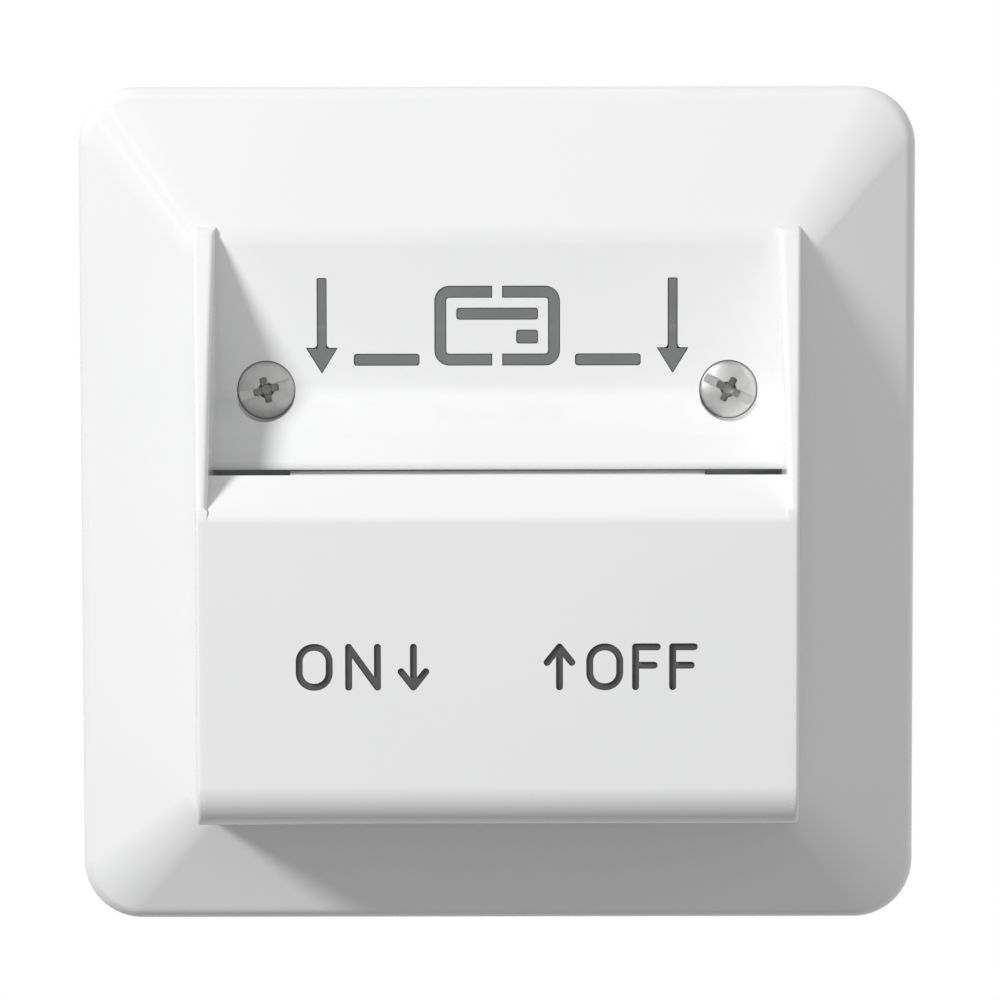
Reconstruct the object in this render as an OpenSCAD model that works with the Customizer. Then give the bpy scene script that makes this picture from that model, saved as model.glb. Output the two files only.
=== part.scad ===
// Wall switch that is worked by a card in its pocket. Sizes are in millimetres.
// Each piece is drawn lying on its back: x to the right, y up the wall, z out of the wall.
// on_wall() then stands it up, with the wall plane at Y = 0 and the front towards -Y.

/* [Surround] */
// Width and height of the surround
plate_w = 85; // [82:0.5:95]
// Corner radius of the surround
plate_corner_r = 6; // [4:0.1:8]
// Wall of the cover moulding
cover_wall = 2; // [1.6:0.1:2.4]
// Height of the slope at the outer edge
edge_h = 3.6; // [3.2:0.1:5]
// Rounding between the rim and the slope
rim_round = 2; // [1:0.1:3]
// Height of the flat panel above the wall
panel_h = 8.8; // [8.4:0.1:10]
// Half width of the flat top that the slopes rise to
crest_half = 30.6; // [29:0.1:32]
// Upper end of the flat top
crest_top = 27.4; // [27:0.1:29]
// Lower end of the flat top
crest_bottom = 31; // [29:0.1:33]

/* [Card pocket] */
// Width of the pocket at its front
pocket_w = 58.6; // [57:0.1:60]
// Extra width of the pocket at its foot, each side
pocket_flare = 1.2; // [0.5:0.1:1.4]
// Front of the pocket above the wall
pocket_h = 23.8; // [22:0.1:26]
// Side walls past the upper end of the flat top
wall_over = 0.8; // [0.6:0.1:1]
// Blunt upper end of the side walls above the panel
wall_end_h = 0.95; // [0.7:0.05:1.2]
// Lean of that end towards the pocket's front
wall_lean = 0.5; // [0.3:0.1:0.7]
// Bend in the rim of the side walls, its place
rim_bend_y = 13.5; // [12.5:0.1:14.5]
// Bend in the rim of the side walls, below the pocket's front
rim_drop = 5.4; // [5:0.1:6]
// Lower end of the pocket at its front
pocket_bottom = 30.3; // [29:0.1:31]
// Rounding of the lower front edge
bottom_round = 4.2; // [3:0.1:5]
// Side walls of the pocket
pocket_side = 1.1; // [0.9:0.1:1.6]
// Where the panel meets the ramp
crease_y = 11.5; // [10.5:0.1:12.5]
// Upper edge of the pocket's front face
front_edge_y = 0.5; // [-1:0.1:2]
// Card slot, width across
slot_w = 56.4; // [55:0.1:56.8]
// Card slot, gap front to back
slot_gap = 1.3; // [1:0.1:1.6]
// Front side of the slot behind the pocket's front
slot_setback = 4.9; // [4.5:0.1:5.4]
// Height of the slot seen from the front
slot_show = 0.2; // [0.15:0.05:0.4]
// Crease to the knee, where the ramp gets flatter
knee_run = 3; // [2.5:0.1:3.4]
// Lower end of the ramp behind the slot
lip_back = 2.2; // [1.8:0.1:2.4]
// Thickness of the ribs in front of the card
rib_t = 1.2; // [0.8:0.1:1.6]
// Ribs from the middle, inner pair
rib_x = 13; // [10:0.5:18]
// Distance between inner and outer ribs
rib_step = 10; // [6:0.5:12]

/* [Windows] */
// Middle of the row of windows
glyph_y = 18.4; // [18:0.1:19]
// Arrows from the middle
arrow_x = 17.6; // [17:0.1:18]
// Length of an arrow
arrow_len = 9.6; // [8:0.1:10]
// Width of the arrow's shaft
arrow_shaft = 1; // [0.8:0.1:1.4]
// Width of the arrow's head
arrow_head_w = 3.2; // [2.6:0.1:3.6]
// Length of the arrow's head
arrow_head_len = 2.6; // [2:0.1:3.4]
// Width of the card sign
sign_w = 12.6; // [11:0.1:13]
// Height of the card sign
sign_h = 8; // [7:0.1:8.4]
// Corner of the card sign
sign_r = 1.5; // [1.3:0.1:2]
// Stroke of the signs
stroke = 1.2; // [1:0.05:1.3]
// Bridges that hold the middle of the card sign
bridge_w = 1; // [0.8:0.1:1.4]
// Width of the chip on the card sign
chip_w = 2.2; // [1.6:0.1:2.6]
// Height of the chip on the card sign
chip_h = 1.4; // [1.2:0.1:1.5]
// Length of the slot bars beside the card sign
bar_len = 6.6; // [5:0.1:7]
// Gap between card sign and slot bars
bar_gap = 1.5; // [1:0.1:2]

/* [Light guide] */
// Thickness of the light guide
guide_t = 2; // [1.6:0.1:2.1]
// Edge of the light guide around the windows
guide_margin = 1.4; // [1:0.1:1.6]
// Clearance of the raised shapes in the windows
glyph_clear = 0.08; // [0.05:0.01:0.12]
// Raised shapes stop this far below the panel
glyph_set = 0.1; // [0:0.05:0.3]
// Radius of the pegs that hold the guide
peg_r = 0.9; // [0.7:0.1:1]
// Clearance around pegs and towers
peg_clear = 0.15; // [0.1:0.05:0.2]

/* [Cover screws] */
// Screws from the side of the insert
screw_out = 3.2; // [3.2:0.1:4]
// Screws above the middle
screw_y = 12; // [11.6:0.1:12.6]
// Head radius
screw_head_r = 2.9; // [2.6:0.05:3]
// Head height
screw_head_h = 1.9; // [1.5:0.1:2.2]
// Seat of the head below the panel
screw_seat = 1.3; // [1:0.1:1.5]
// Thread radius
screw_r = 1.7; // [1.5:0.05:1.75]
// Clearance around the head
head_clear = 0.09; // [0.05:0.01:0.1]
// Clearance around the shank in the cover
shank_clear = 0.2; // [0.1:0.05:0.3]
// Wall of the tower around the head
tower_wall = 0.9; // [0.7:0.1:1]
// Tower under the head's seat
tower_neck = 1.5; // [1.2:0.1:2]
// Wall of the tower's foot around the shank
tower_foot = 1.1; // [0.9:0.1:1.2]
// Width of the driver slot
drive_w = 0.9; // [0.7:0.05:1]
// Depth of the driver slot
drive_depth = 0.9; // [0.6:0.1:1.1]
// Turn of the left screw
turn_left = 15; // [0:1:180]
// Turn of the right screw
turn_right = -28; // [-180:1:180]

/* [Support ring] */
// Thickness of the ring
ring_t = 1.2; // [1:0.1:1.4]
// Gap from the ring to the cover's rim
ring_gap = 5; // [4:0.1:5.4]
// Corner radius of the ring
ring_corner_r = 4; // [2:0.1:6]
// Box screws, centre to centre
box_pitch = 60; // [59:0.1:61]
// Radius of the box screw slots
box_slot_r = 2.1; // [1.8:0.05:2.3]
// Straight part of the box screw slots
box_slot_len = 4; // [2:0.1:5]
// Collar of the tapped holes, wall
collar_wall = 1.2; // [0.9:0.1:1.3]
// Collar of the tapped holes, depth
collar_h = 2.4; // [1.5:0.1:4]
// Clearance of a thread in its hole
thread_clear = 0.05; // [0.02:0.01:0.08]

/* [Insert] */
// Width of the insert
base_w = 40; // [39:0.1:40.2]
// Height of the insert
base_h = 36; // [35:0.1:37]
// Depth of the insert in the wall
base_depth = 26; // [25.5:0.1:30]
// Corner radius of the insert
base_corner_r = 2; // [1:0.1:3]
// Side walls of the insert
base_wall = 1.8; // [1.5:0.1:2]
// Floor of the insert
base_floor = 2; // [1.5:0.1:2.2]
// Clearance of the insert in the ring
base_clear = 0.3; // [0.1:0.05:0.4]
// Base cover above the ring
lid_rise = 1.4; // [1.2:0.1:1.8]
// Ears of the base cover reach past the insert
ear_len = 5.5; // [5.2:0.1:5.7]
// Length of the ears up the wall
ear_h = 9; // [7:0.1:10]
// Rivet radius
rivet_r = 1.2; // [1:0.1:1.3]
// Rivet head radius
rivet_head_r = 2; // [1.8:0.1:2.2]
// Rivet head height
rivet_head_h = 0.8; // [0.5:0.1:0.8]
// Clearance of rivets, small screws and pins in their holes
pin_clear = 0.04; // [0.02:0.01:0.08]
// Radius of the base screws
bscrew_r = 0.9; // [0.8:0.05:1]
// Head radius of the base screws
bscrew_head_r = 1.6; // [1.4:0.05:1.7]
// Head height of the base screws
bscrew_head_h = 1.1; // [0.8:0.1:1.3]
// Length of the base screws below the head
bscrew_len = 9; // [6:0.5:12]
// Radius of the posts that take the base screws
post_r = 1.8; // [1.6:0.05:1.9]

/* [Card guide] */
// Thickness of the guide plate
cguide_t = 1.6; // [1.2:0.1:2]
// Clearance of the guide in the pocket
cguide_clear = 0.3; // [0.2:0.05:0.4]
// Half width of the raised middle of the guide
cguide_mid = 20.6; // [18:0.1:22]
// How far the shoulders lie below the foot of the upper slope
shoulder_drop = 4.4; // [3:0.1:6]
// Upper slope of the guide below the line of the ramp
lead_drop = 1.2; // [0.8:0.1:1.4]
// Gap between that slope and the ramp
lead_gap = 0.1; // [0.05:0.01:0.1]
// Thickness of the legs
leg_t = 1.6; // [1.2:0.1:2]
// Upper end of the legs
leg_top = -5.5; // [-7:0.1:-5]
// Height of the legs along the wall
leg_h = 19; // [17:0.5:20]
// Thickness of the feet
foot_t = 1.4; // [1.2:0.1:1.6]
// Foot screws from the outside of the leg
foot_screw_out = 4.2; // [3.8:0.1:4.4]
// Foot past its screws
foot_edge = 2.4; // [2:0.1:2.5]
// Foot screw from the end of its leg
foot_screw_in = 3; // [2.6:0.1:4]
// Foot screw radius
fscrew_r = 1; // [0.8:0.05:1.1]
// Foot screw head radius
fscrew_head_r = 1.9; // [1.6:0.1:2.1]
// Foot screw head height
fscrew_head_h = 1.3; // [1:0.1:1.4]
// Foot screw length above the foot
fscrew_bite = 2.2; // [1.5:0.1:2.4]
// Wall of the bosses that take the foot screws
boss_wall = 1.7; // [1.2:0.1:2]
// Gap between foot screw heads and the ring
foot_gap = 0.5; // [0.4:0.05:0.6]

/* [Card lever] */
// Width of the flap
flap_w = 16; // [13:0.5:18]
// Half thickness of the flap, and its tip radius
flap_r = 1; // [0.8:0.05:1.2]
// Axle to tip
lever_len = 23; // [21:0.1:24]
// Axle above the middle
lever_y = 0; // [-1:0.1:0.5]
// Axle in front of the wall
lever_z = 11.5; // [11:0.1:12]
// Gap from the tip to the pocket's front wall at rest
tip_gap = 0.5; // [0.4:0.1:1.5]
// Tip behind the card when pressed
tip_behind = 0.3; // [0.3:0.1:0.8]
// Hub radius
hub_r = 2.6; // [2.3:0.1:2.8]
// Axle radius
axle_r = 1.25; // [1:0.05:1.4]
// Running clearance of the lever on its axle
lever_clear = 0.05; // [0.02:0.01:0.08]
// Side play of the lever between its lugs
side_play = 0.4; // [0.3:0.05:0.6]
// Thickness of the lugs
lug_t = 2.4; // [2:0.1:3]
// Wall of the lugs around the axle
lug_wall = 1.8; // [1.4:0.1:1.9]
// Clearance of the flap in its window, each side
window_clear = 0.6; // [0.4:0.1:1]
// Nose radius
nose_r = 1.8; // [1.5:0.1:2]
// Width of the nose
nose_w = 6; // [4:0.1:7]
// Clip thickness
clip_t = 0.5; // [0.4:0.05:0.7]
// Clip radius
clip_r = 2.4; // [2:0.1:2.6]
// Depth of the clip groove
clip_groove = 0.3; // [0.2:0.05:0.4]

/* [Plunger and contacts] */
// Plunger above the insert's lower side
plunger_up = 6; // [5.5:0.1:6.5]
// Gap between nose and plunger at rest
nose_gap = 0.1; // [0.06:0.02:0.2]
// Cap radius
cap_r = 3.4; // [3:0.1:3.8]
// Cap height
cap_h = 1.8; // [1.4:0.1:2]
// Shaft radius
shaft_r = 2.5; // [2.2:0.05:2.6]
// Running clearance of the shaft
shaft_clear = 0.05; // [0.02:0.01:0.08]
// Wall of the shaft's sleeve
sleeve_wall = 1.6; // [1.2:0.1:2]
// Sleeve in front of the base cover
sleeve_up = 2.8; // [2:0.1:3]
// Sleeve behind the base cover
sleeve_down = 2.4; // [1:0.1:2.6]
// Neck radius
neck_r = 1.6; // [1.3:0.05:1.7]
// Foot flange radius
flange_r = 2.9; // [2.6:0.05:3]
// Foot flange height
flange_h = 1.4; // [1:0.1:1.8]
// Radius of the spring pilots
pilot_r = 1.4; // [1.2:0.05:1.5]
// Length of the spring pilots
pilot_len = 2; // [1.5:0.1:3]
// Thickness of contact metal
metal_t = 0.8; // [0.6:0.05:1]
// Contact tip radius
tip_r = 1.6; // [1.3:0.05:1.8]
// Contact tip height
tip_h = 0.9; // [0.7:0.05:1.1]
// Gap between tips when pressed
tip_air = 0.05; // [0.03:0.01:0.1]
// Contact tips from the middle
tip_x = 8.4; // [8:0.1:8.8]
// Half length of the contact bar
bar_half = 10.5; // [10.4:0.1:11]
// Width of the contact bar
bar_w = 5.2; // [4.6:0.1:5.4]
// Clearance of the bar around the neck
bar_clear = 0.1; // [0.05:0.01:0.15]
// Top of the fixed strips behind the wall plane
strip_deep = 14.2; // [14:0.1:14.6]
// Length of the contact spring at rest
cspring_len = 4.4; // [4:0.1:4.8]
// Wire radius of the contact spring
cspring_wire = 0.22; // [0.2:0.01:0.25]
// Turns of the contact spring
cspring_turns = 4; // [3:1:4]
// Wire radius of the return spring
rspring_wire = 0.3; // [0.25:0.01:0.32]
// Turns of the return spring
rspring_turns = 7; // [5:1:8]
// Gap between a spring's coil and its pilot
spring_fit = 0.3; // [0.2:0.05:0.35]

/* [Terminals] */
// Inner side of the fixed strips from the middle
strip_in = 5.6; // [5.2:0.1:6]
// Width of the fixed strips
strip_w = 3.8; // [3.4:0.1:4]
// Gap from the fixed strips to the screw posts
strip_gap = 0.2; // [0.1:0.05:0.4]
// Terminal block, width across
term_w = 7.6; // [7.2:0.1:7.8]
// Terminal block, height up the wall
term_h = 8; // [7:0.1:9]
// Terminal block, depth
term_d = 10; // [8:0.1:10.4]
// Wire hole radius
wire_r = 1.7; // [1.4:0.05:1.8]
// Wire hole from the block's inner side
wire_in = 2.8; // [2.7:0.1:3]
// Terminal screw radius
tscrew_r = 1.25; // [1.1:0.05:1.3]
// Terminal screw head radius
tscrew_head_r = 2.3; // [2:0.1:2.6]
// Terminal screw head height
tscrew_head_h = 1.9; // [1.5:0.1:2]
// Terminal screw stops this far from the wire hole
tscrew_back = 0.2; // [0.1:0.05:0.4]
// Clearance of a block in its bay
bay_clear = 0.3; // [0.2:0.05:0.4]
// Walls of the bays
bay_wall = 1.2; // [1:0.1:1.4]

/* [Lamp] */
// Gap from the lamp's holder to the insert's upper wall
lamp_gap = 0.3; // [0.2:0.1:1]
// Lamp in front of the wall
lamp_z = 2.3; // [2.1:0.1:2.4]
// Lamp radius
lamp_r = 2; // [1.6:0.05:2.05]
// Lamp length
lamp_len = 10; // [8:0.1:11]
// Clearance of the lamp in its holder
lamp_clear = 0.06; // [0.03:0.01:0.1]
// Wall of the holder beside and below the lamp
holder_wall = 0.9; // [0.7:0.1:1]
// Lip of the holder
holder_lip = 0.6; // [0.5:0.05:0.7]
// Clearance of the holder in the base cover
holder_clear = 0.12; // [0.08:0.02:0.2]
// Lead radius
lead_r = 0.3; // [0.2:0.05:0.4]
// Leads from the lamp's ends
lead_out = 2.4; // [2.2:0.1:2.8]
// Leads cross behind the wall plane at
lead_deep = 11; // [10:0.1:11.5]
// Leads meet the strips above the contact bar's middle
lead_up = 4.5; // [4:0.1:5]
// Bend of the leads
lead_bend = 1.2; // [0.8:0.1:1.6]
// Clearance around the leads
lead_clear = 0.1; // [0.05:0.01:0.15]
// Resistor radius
res_r = 1.1; // [0.9:0.1:1.3]
// Resistor length
res_len = 5.5; // [4:0.1:6]

/* [Hidden] */
$fn = 48;
eps = 0.02;

// Surround
half_w = plate_w / 2;
crest_mid = (crest_top - crest_bottom) / 2;
crest_half_y = (crest_top + crest_bottom) / 2;
slope_run = half_w - crest_half;
slope_a = atan((panel_h - edge_h) / slope_run);
rim_cz = edge_h + rim_round * tan(slope_a) - rim_round / cos(slope_a);
inner_r = plate_corner_r - cover_wall;
panel_in = panel_h - cover_wall;
function slope_z(x) = panel_h - (x - crest_half) * tan(slope_a);

// Pocket
front_in = pocket_h - cover_wall;
rise = pocket_h - panel_h;
run = crease_y - front_edge_y;
ramp_l = sqrt(rise * rise + run * run);
under_y = crease_y - cover_wall * rise / ramp_l;
under_z = panel_h - cover_wall * run / ramp_l;
function ramp_y(z) = crease_y - (z - panel_h) * run / rise;
function under_ramp_y(z) = under_y - (z - under_z) * run / rise;
function pocket_half(z) = pocket_w / 2 + pocket_flare * (pocket_h - z) / rise;
slot_front = pocket_h - slot_setback;
slot_rear = slot_front - slot_gap;
wall_top = crest_top + wall_over;
wall_rim = [[wall_top - wall_lean, panel_h + wall_end_h], [rim_bend_y, pocket_h - rim_drop],
    [front_edge_y, pocket_h]];
function wall_foot(z) = wall_top + (panel_h - z) * wall_lean / wall_end_h;
knee = [crease_y - knee_run, panel_h + knee_run * rise / run];
lip = [ramp_y(slot_front) + slot_show, slot_rear - lip_back];
lip_slope = (lip[1] - knee[1]) / (knee[0] - lip[0]);
lip_t = cover_wall * sqrt(1 + lip_slope * lip_slope);
function lip_z(y) = lip[1] + (lip[0] - y) * lip_slope;
lip_in = [lip[0], lip[1] - lip_t];
knee_in_z = (lip_z(under_y + under_z * run / rise) - lip_t) / (1 - lip_slope * run / rise);
knee_in = [under_ramp_y(knee_in_z), knee_in_z];
low_corner = 0.6 * max(0, bottom_round - cover_wall);

// Windows
arrow_top = glyph_y + arrow_len / 2;
arrow_tip = glyph_y - arrow_len / 2;
sign_in_r = max(0.2, sign_r - stroke);
bar_x = sign_w / 2 + bar_gap + bar_len / 2;
bar_y = glyph_y - sign_h / 2 + stroke / 2;
guide_half = arrow_x + arrow_head_w / 2 + guide_margin;
guide_low = arrow_tip - guide_margin;
guide_high = arrow_top + guide_margin + 2 * peg_r;
guide_z = panel_in - guide_t;
peg_y = arrow_top + guide_margin / 2 + peg_r;
peg_x = arrow_x - arrow_head_w;

// Cover screws
seat_z = panel_h - screw_seat;
tower_r = screw_head_r + head_clear + tower_wall;
screw_x = base_w / 2 + screw_out;

// Ring and insert
ring_w = plate_w - 2 * (cover_wall + ring_gap);
lid_z = ring_t + lid_rise;
floor_z = -base_depth + base_floor;
ear_x = base_w / 2 + base_clear;
rivet_x = base_w / 2 + ear_len / 2 + base_clear / 2;
ear_y = -base_h / 4;
post_x = base_w / 2 - base_wall - post_r;
post_y = base_h / 2 - base_wall - post_r;

// Card guide
cg_rear = slot_rear - cguide_t;
cg_top = lip[0] - lead_gap;
lead_y = lip[0] - (slot_rear - lip[1] + lead_drop) / lip_slope;
function lead_z(y) = slot_rear - (y - lead_y) * lip_slope;
cg_low = -pocket_bottom + cover_wall + cguide_clear;
cg_half = pocket_half(pocket_h) - pocket_side - cguide_clear;
foot_z = ring_t + foot_gap + fscrew_head_h;
foot_top = foot_z + foot_t;
fscrew_x = cg_half + foot_screw_out;
leg_low = leg_top - leg_h;
fscrew_ys = [leg_top - foot_screw_in, leg_low + foot_screw_in];
boss_r = fscrew_r + boss_wall;

// Lever
rest_a = asin((front_in - tip_gap - flap_r - lever_z) / lever_len);
press_a = asin((slot_rear - tip_behind - flap_r - lever_z) / lever_len);
swing = rest_a - press_a;
mid_a = (rest_a + press_a) / 2;
plunger_y = -base_h / 2 + plunger_up;
nose_len = lever_y - plunger_y;
nose_y = lever_y - nose_len * cos(swing / 2);
nose_z = lever_z + nose_len * sin(swing / 2);
lug_x = flap_w / 2 + side_play;
lug_r = axle_r + lug_wall;
win_half = flap_w / 2 + window_clear;
win_top = lever_y - 5;
win_low = lever_y - lever_len - flap_r - window_clear;

// Plunger: travel follows the lever's swing
travel = 2 * nose_len * sin(swing / 2);
cap_top = nose_z - nose_r - nose_gap;
cap_z = cap_top - cap_h;
strip_top = -strip_deep;
strip_z = strip_top - metal_t;
fixed_top = strip_top + tip_h;
bar_tip_z = fixed_top + tip_air + travel;
bar_z = bar_tip_z + tip_h;
bar_top = bar_z + metal_t;
shaft_z = bar_top + cspring_len;
flange_z = bar_z - flange_h;
coil_r = pilot_r + spring_fit + rspring_wire;
ccoil_r = neck_r + spring_fit + cspring_wire;

// Terminals
strip_out = post_x - post_r - strip_gap;
term_x = strip_out - strip_w - 1;
term_out = term_x + term_w;
term_top = strip_z;
term_z = term_top - term_d;
wire_x = term_x + wire_in;
tscrew_z = term_top - term_d / 2;
strip_y = plunger_y + bar_w / 2;
bay_top = strip_top + 0.1;

// Lamp
lead_x = lamp_len / 2 + lead_out;
holder_half = lead_x + lead_r + lead_clear + holder_wall;
holder_half_y = lamp_r + lamp_clear + holder_wall;
holder_z = lamp_z - lamp_r - lamp_clear - holder_wall;
lamp_y = base_h / 2 - base_wall - lamp_gap - holder_half_y;
lead_end = [strip_out - strip_w / 2, plunger_y + lead_up];

// Springs: one wire wound as a tube, with its least gap to itself
function coil_at(r, z0, len, turns, t) =
    [r * cos(360 * turns * t), r * sin(360 * turns * t), z0 + len * t];
function coil_ring(r, wire, z0, len, turns, t) =
    let (c = coil_at(r, z0, len, turns, t), a = 360 * turns * t)
    let (lead = atan(len / turns / (2 * PI * r)))
    let (out = [cos(a), sin(a), 0])
    let (up = [sin(a) * sin(lead), -cos(a) * sin(lead), cos(lead)])
    [for (k = [0:5]) c + wire * (cos(60 * k) * out + sin(60 * k) * up)];
function coil_gap(wire, len, turns) = len / turns - 2 * wire;

module coil(r, wire, z0, len, turns) {
    n = 8 * turns;
    rings = [for (i = [0:n]) coil_ring(r, wire, z0, len, turns, i / n)];
    pts = [for (ring = rings) for (p = ring) p];
    sides = [for (i = [0:n - 1]) for (k = [0:5]) each
        let (a = 6 * i + k, b = 6 * i + (k + 1) % 6)
        [[a, a + 6, b + 6], [a, b + 6, b]]];
    low = [for (k = [1:4]) [0, k, k + 1]];
    high = [for (k = [1:4]) [6 * n, 6 * n + k + 1, 6 * n + k]];
    polyhedron(pts, concat(sides, low, high));
}

echo(rest_angle = rest_a, swing = swing, travel = travel);
rspring_z = floor_z + rspring_wire + 0.05;
rspring_len = flange_z - floor_z - 2 * rspring_wire - 0.1;
cspring_z = bar_top + cspring_wire + 0.03;
cspring_run = cspring_len - 2 * cspring_wire - 0.06;
echo(return_spring_gap = coil_gap(rspring_wire, rspring_len, rspring_turns));
echo(contact_spring_gap = coil_gap(cspring_wire, cspring_run, cspring_turns));

module on_wall() {
    rotate([90, 0, 0]) children();
}

// A slab across the switch, drawn as y and z
module across(half, pts) {
    translate([-half, 0, 0]) rotate([90, 0, 90]) linear_extrude(2 * half) polygon(pts);
}

module rr(w, h, r) {
    square([w - 2 * r, h], center = true);
    square([w, h - 2 * r], center = true);
    for (x = [-1, 1]) {
        for (y = [-1, 1]) translate([x * (w / 2 - r), y * (h / 2 - r)]) circle(r);
    }
}

module mirrored() {
    children();
    mirror([1, 0, 0]) children();
}

// Tiers of rounded rectangles, each one [z, half width, half height, middle]
function tier(t, r, n) = [for (q = [0:3]) for (i = [0:n])
    let (a = 90 * q + 90 * i / n)
    let (sx = (q == 0 || q == 3) ? 1 : -1, sy = q < 2 ? 1 : -1)
    [sx * (t[1] - r) + r * cos(a), t[3] + sy * (t[2] - r) + r * sin(a), t[0]]];

module tiers(list, r, n) {
    m = 4 * (n + 1);
    top = len(list) - 1;
    pts = [for (t = list) each tier(t, r, n)];
    sides = [for (i = [0:top - 1]) for (k = [0:m - 1]) each
        let (a = m * i + k, b = m * i + (k + 1) % m)
        [[a, a + m, b + m], [a, b + m, b]]];
    low = [for (k = [0:m - 1]) k];
    high = [for (k = [m - 1:-1:0]) m * top + k];
    polyhedron(pts, concat(sides, [low], [high]));
}

module surround() {
    rim = [for (i = [0:5])
        let (a = (90 - slope_a) * i / 5, x = half_w - rim_round + rim_round * cos(a))
        [rim_cz + rim_round * sin(a), x, x, 0]];
    crest = [panel_h, crest_half, crest_half_y, crest_mid];
    difference() {
        tiers(concat([[0, half_w, half_w, 0]], rim, [crest]), plate_corner_r, 8);
        tiers([
            [-1, half_w - cover_wall, half_w - cover_wall, 0],
            [edge_h - cover_wall, half_w - cover_wall, half_w - cover_wall, 0],
            [panel_in, crest_half, crest_half_y, crest_mid]], inner_r, 6);
    }
}

module pocket_body() {
    foot = panel_h - cover_wall / 2;
    low = crest_bottom - 0.3;
    arc = [for (i = [0:8]) let (a = 90 * i / 8)
        [-pocket_bottom + bottom_round - bottom_round * sin(a),
        pocket_h - bottom_round + bottom_round * cos(a)]];
    intersection() {
        across(half_w, concat([[-low, foot], [wall_foot(foot), foot]], wall_rim, arc, [[-low, panel_h]]));
        translate([0, half_w, 0]) rotate([90, 0, 0]) linear_extrude(plate_w)
            polygon([[-pocket_half(foot), foot], [pocket_half(foot), foot],
                [pocket_half(pocket_h), pocket_h], [-pocket_half(pocket_h), pocket_h]]);
    }
}

module pocket_hollow() {
    low = panel_in - 0.5;
    intersection() {
        across(half_w, [[under_ramp_y(panel_in), low], [under_ramp_y(panel_in), panel_in],
            knee_in, lip_in, [under_ramp_y(slot_front), slot_front],
            [under_ramp_y(front_in), front_in],
            [-pocket_bottom + cover_wall + low_corner, front_in],
            [-pocket_bottom + cover_wall, front_in - low_corner],
            [-pocket_bottom + cover_wall, low]]);
        translate([0, half_w, 0]) rotate([90, 0, 0]) linear_extrude(plate_w)
            polygon([[-pocket_half(low) + pocket_side, low],
                [pocket_half(low) - pocket_side, low],
                [pocket_half(pocket_h) - pocket_side, pocket_h],
                [-pocket_half(pocket_h) + pocket_side, pocket_h]]);
    }
}

// What lies under the panel and the ramp
module under_front() {
    across(half_w, [[-half_w, 0], [half_w, 0], [half_w, panel_h], [crease_y, panel_h],
        knee, lip, [-half_w, lip[1]]]);
}

module arrow(c) {
    side = sqrt(pow(arrow_head_w / 2, 2) + pow(arrow_head_len, 2));
    tip = arrow_tip + c * side / (arrow_head_w / 2);
    head = arrow_tip + arrow_head_len - c;
    half = (head - tip) * arrow_head_w / 2 / arrow_head_len;
    translate([-arrow_shaft / 2 + c, head - 0.3])
        square([arrow_shaft - 2 * c, arrow_top - c - head + 0.3]);
    polygon([[-half, head], [0, tip], [half, head]]);
}

module card_sign(c) {
    difference() {
        rr(sign_w - 2 * c, sign_h - 2 * c, sign_r - c);
        rr(sign_w - 2 * stroke + 2 * c, sign_h - 2 * stroke + 2 * c, sign_in_r + c);
        square([bridge_w + 2 * c, sign_h + 1], center = true);
    }
    translate([0, sign_h / 2 - stroke - bridge_w - stroke / 2])
        rr(sign_w - 2 * stroke - 2 * bridge_w - 2 * c, stroke - 2 * c, stroke / 4);
    translate([sign_w / 2 - stroke - bridge_w - chip_w / 2, -sign_h / 2 + stroke + bridge_w + chip_h / 2])
        rr(chip_w - 2 * c, chip_h - 2 * c, stroke / 4);
}

// The row of windows: two arrows, a card and the slot that it goes into
module glyphs(c) {
    mirrored() translate([arrow_x, 0]) arrow(c);
    translate([0, glyph_y]) card_sign(c);
    mirrored() translate([bar_x, bar_y]) rr(bar_len - 2 * c, stroke - 2 * c, stroke / 4);
}

module pegs(r, z0, z1) {
    for (x = [-peg_x, 0, peg_x]) translate([x, peg_y, z0]) cylinder(r = r, h = z1 - z0);
}

module cover_plate() {
    color("white") on_wall() difference() {
        union() {
            difference() {
                union() {
                    surround();
                    pocket_body();
                }
                pocket_hollow();
                across(slot_w / 2, [[wall_top + 2, panel_h], [crease_y, panel_h], knee, lip,
                    [ramp_y(slot_front), slot_front], [front_edge_y, pocket_h],
                    [front_edge_y, pocket_h + 2], [wall_top + 2, pocket_h + 2]]);
                translate([-slot_w / 2, under_ramp_y(slot_front), lip_in[1]])
                    cube([slot_w, lip[0] - under_ramp_y(slot_front), slot_front - lip_in[1]]);
            }
            for (x = [rib_x, rib_x + rib_step]) {
                mirrored() translate([x - rib_t / 2, cg_low, slot_front])
                    cube([rib_t, under_ramp_y(front_in) - cg_low, front_in - slot_front + eps]);
            }
            intersection() {
                mirrored() translate([screw_x, screw_y, seat_z - tower_neck])
                    cylinder(r = tower_r, h = pocket_h);
                under_front();
            }
            mirrored() translate([screw_x, screw_y, ring_t])
                cylinder(r = screw_r + shank_clear + tower_foot, h = seat_z - ring_t);
            for (y = fscrew_ys) {
                mirrored() translate([fscrew_x, y, foot_top])
                    cylinder(r = boss_r, h = slope_z(fscrew_x + boss_r) - foot_top - 0.8);
            }
            pegs(peg_r, guide_z - 0.4, panel_h - cover_wall / 2);
        }
        translate([0, 0, panel_in - 1]) linear_extrude(cover_wall + 2) glyphs(0);
        mirrored() translate([screw_x, screw_y, 0]) {
            cylinder(r = screw_r + shank_clear, h = pocket_h);
            translate([0, 0, seat_z]) cylinder(r = screw_head_r + head_clear, h = pocket_h);
        }
        for (y = fscrew_ys) {
            mirrored() translate([fscrew_x, y, foot_top - 1])
                cylinder(r = fscrew_r + pin_clear, h = fscrew_bite + 1.3);
        }
    }
}

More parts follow.
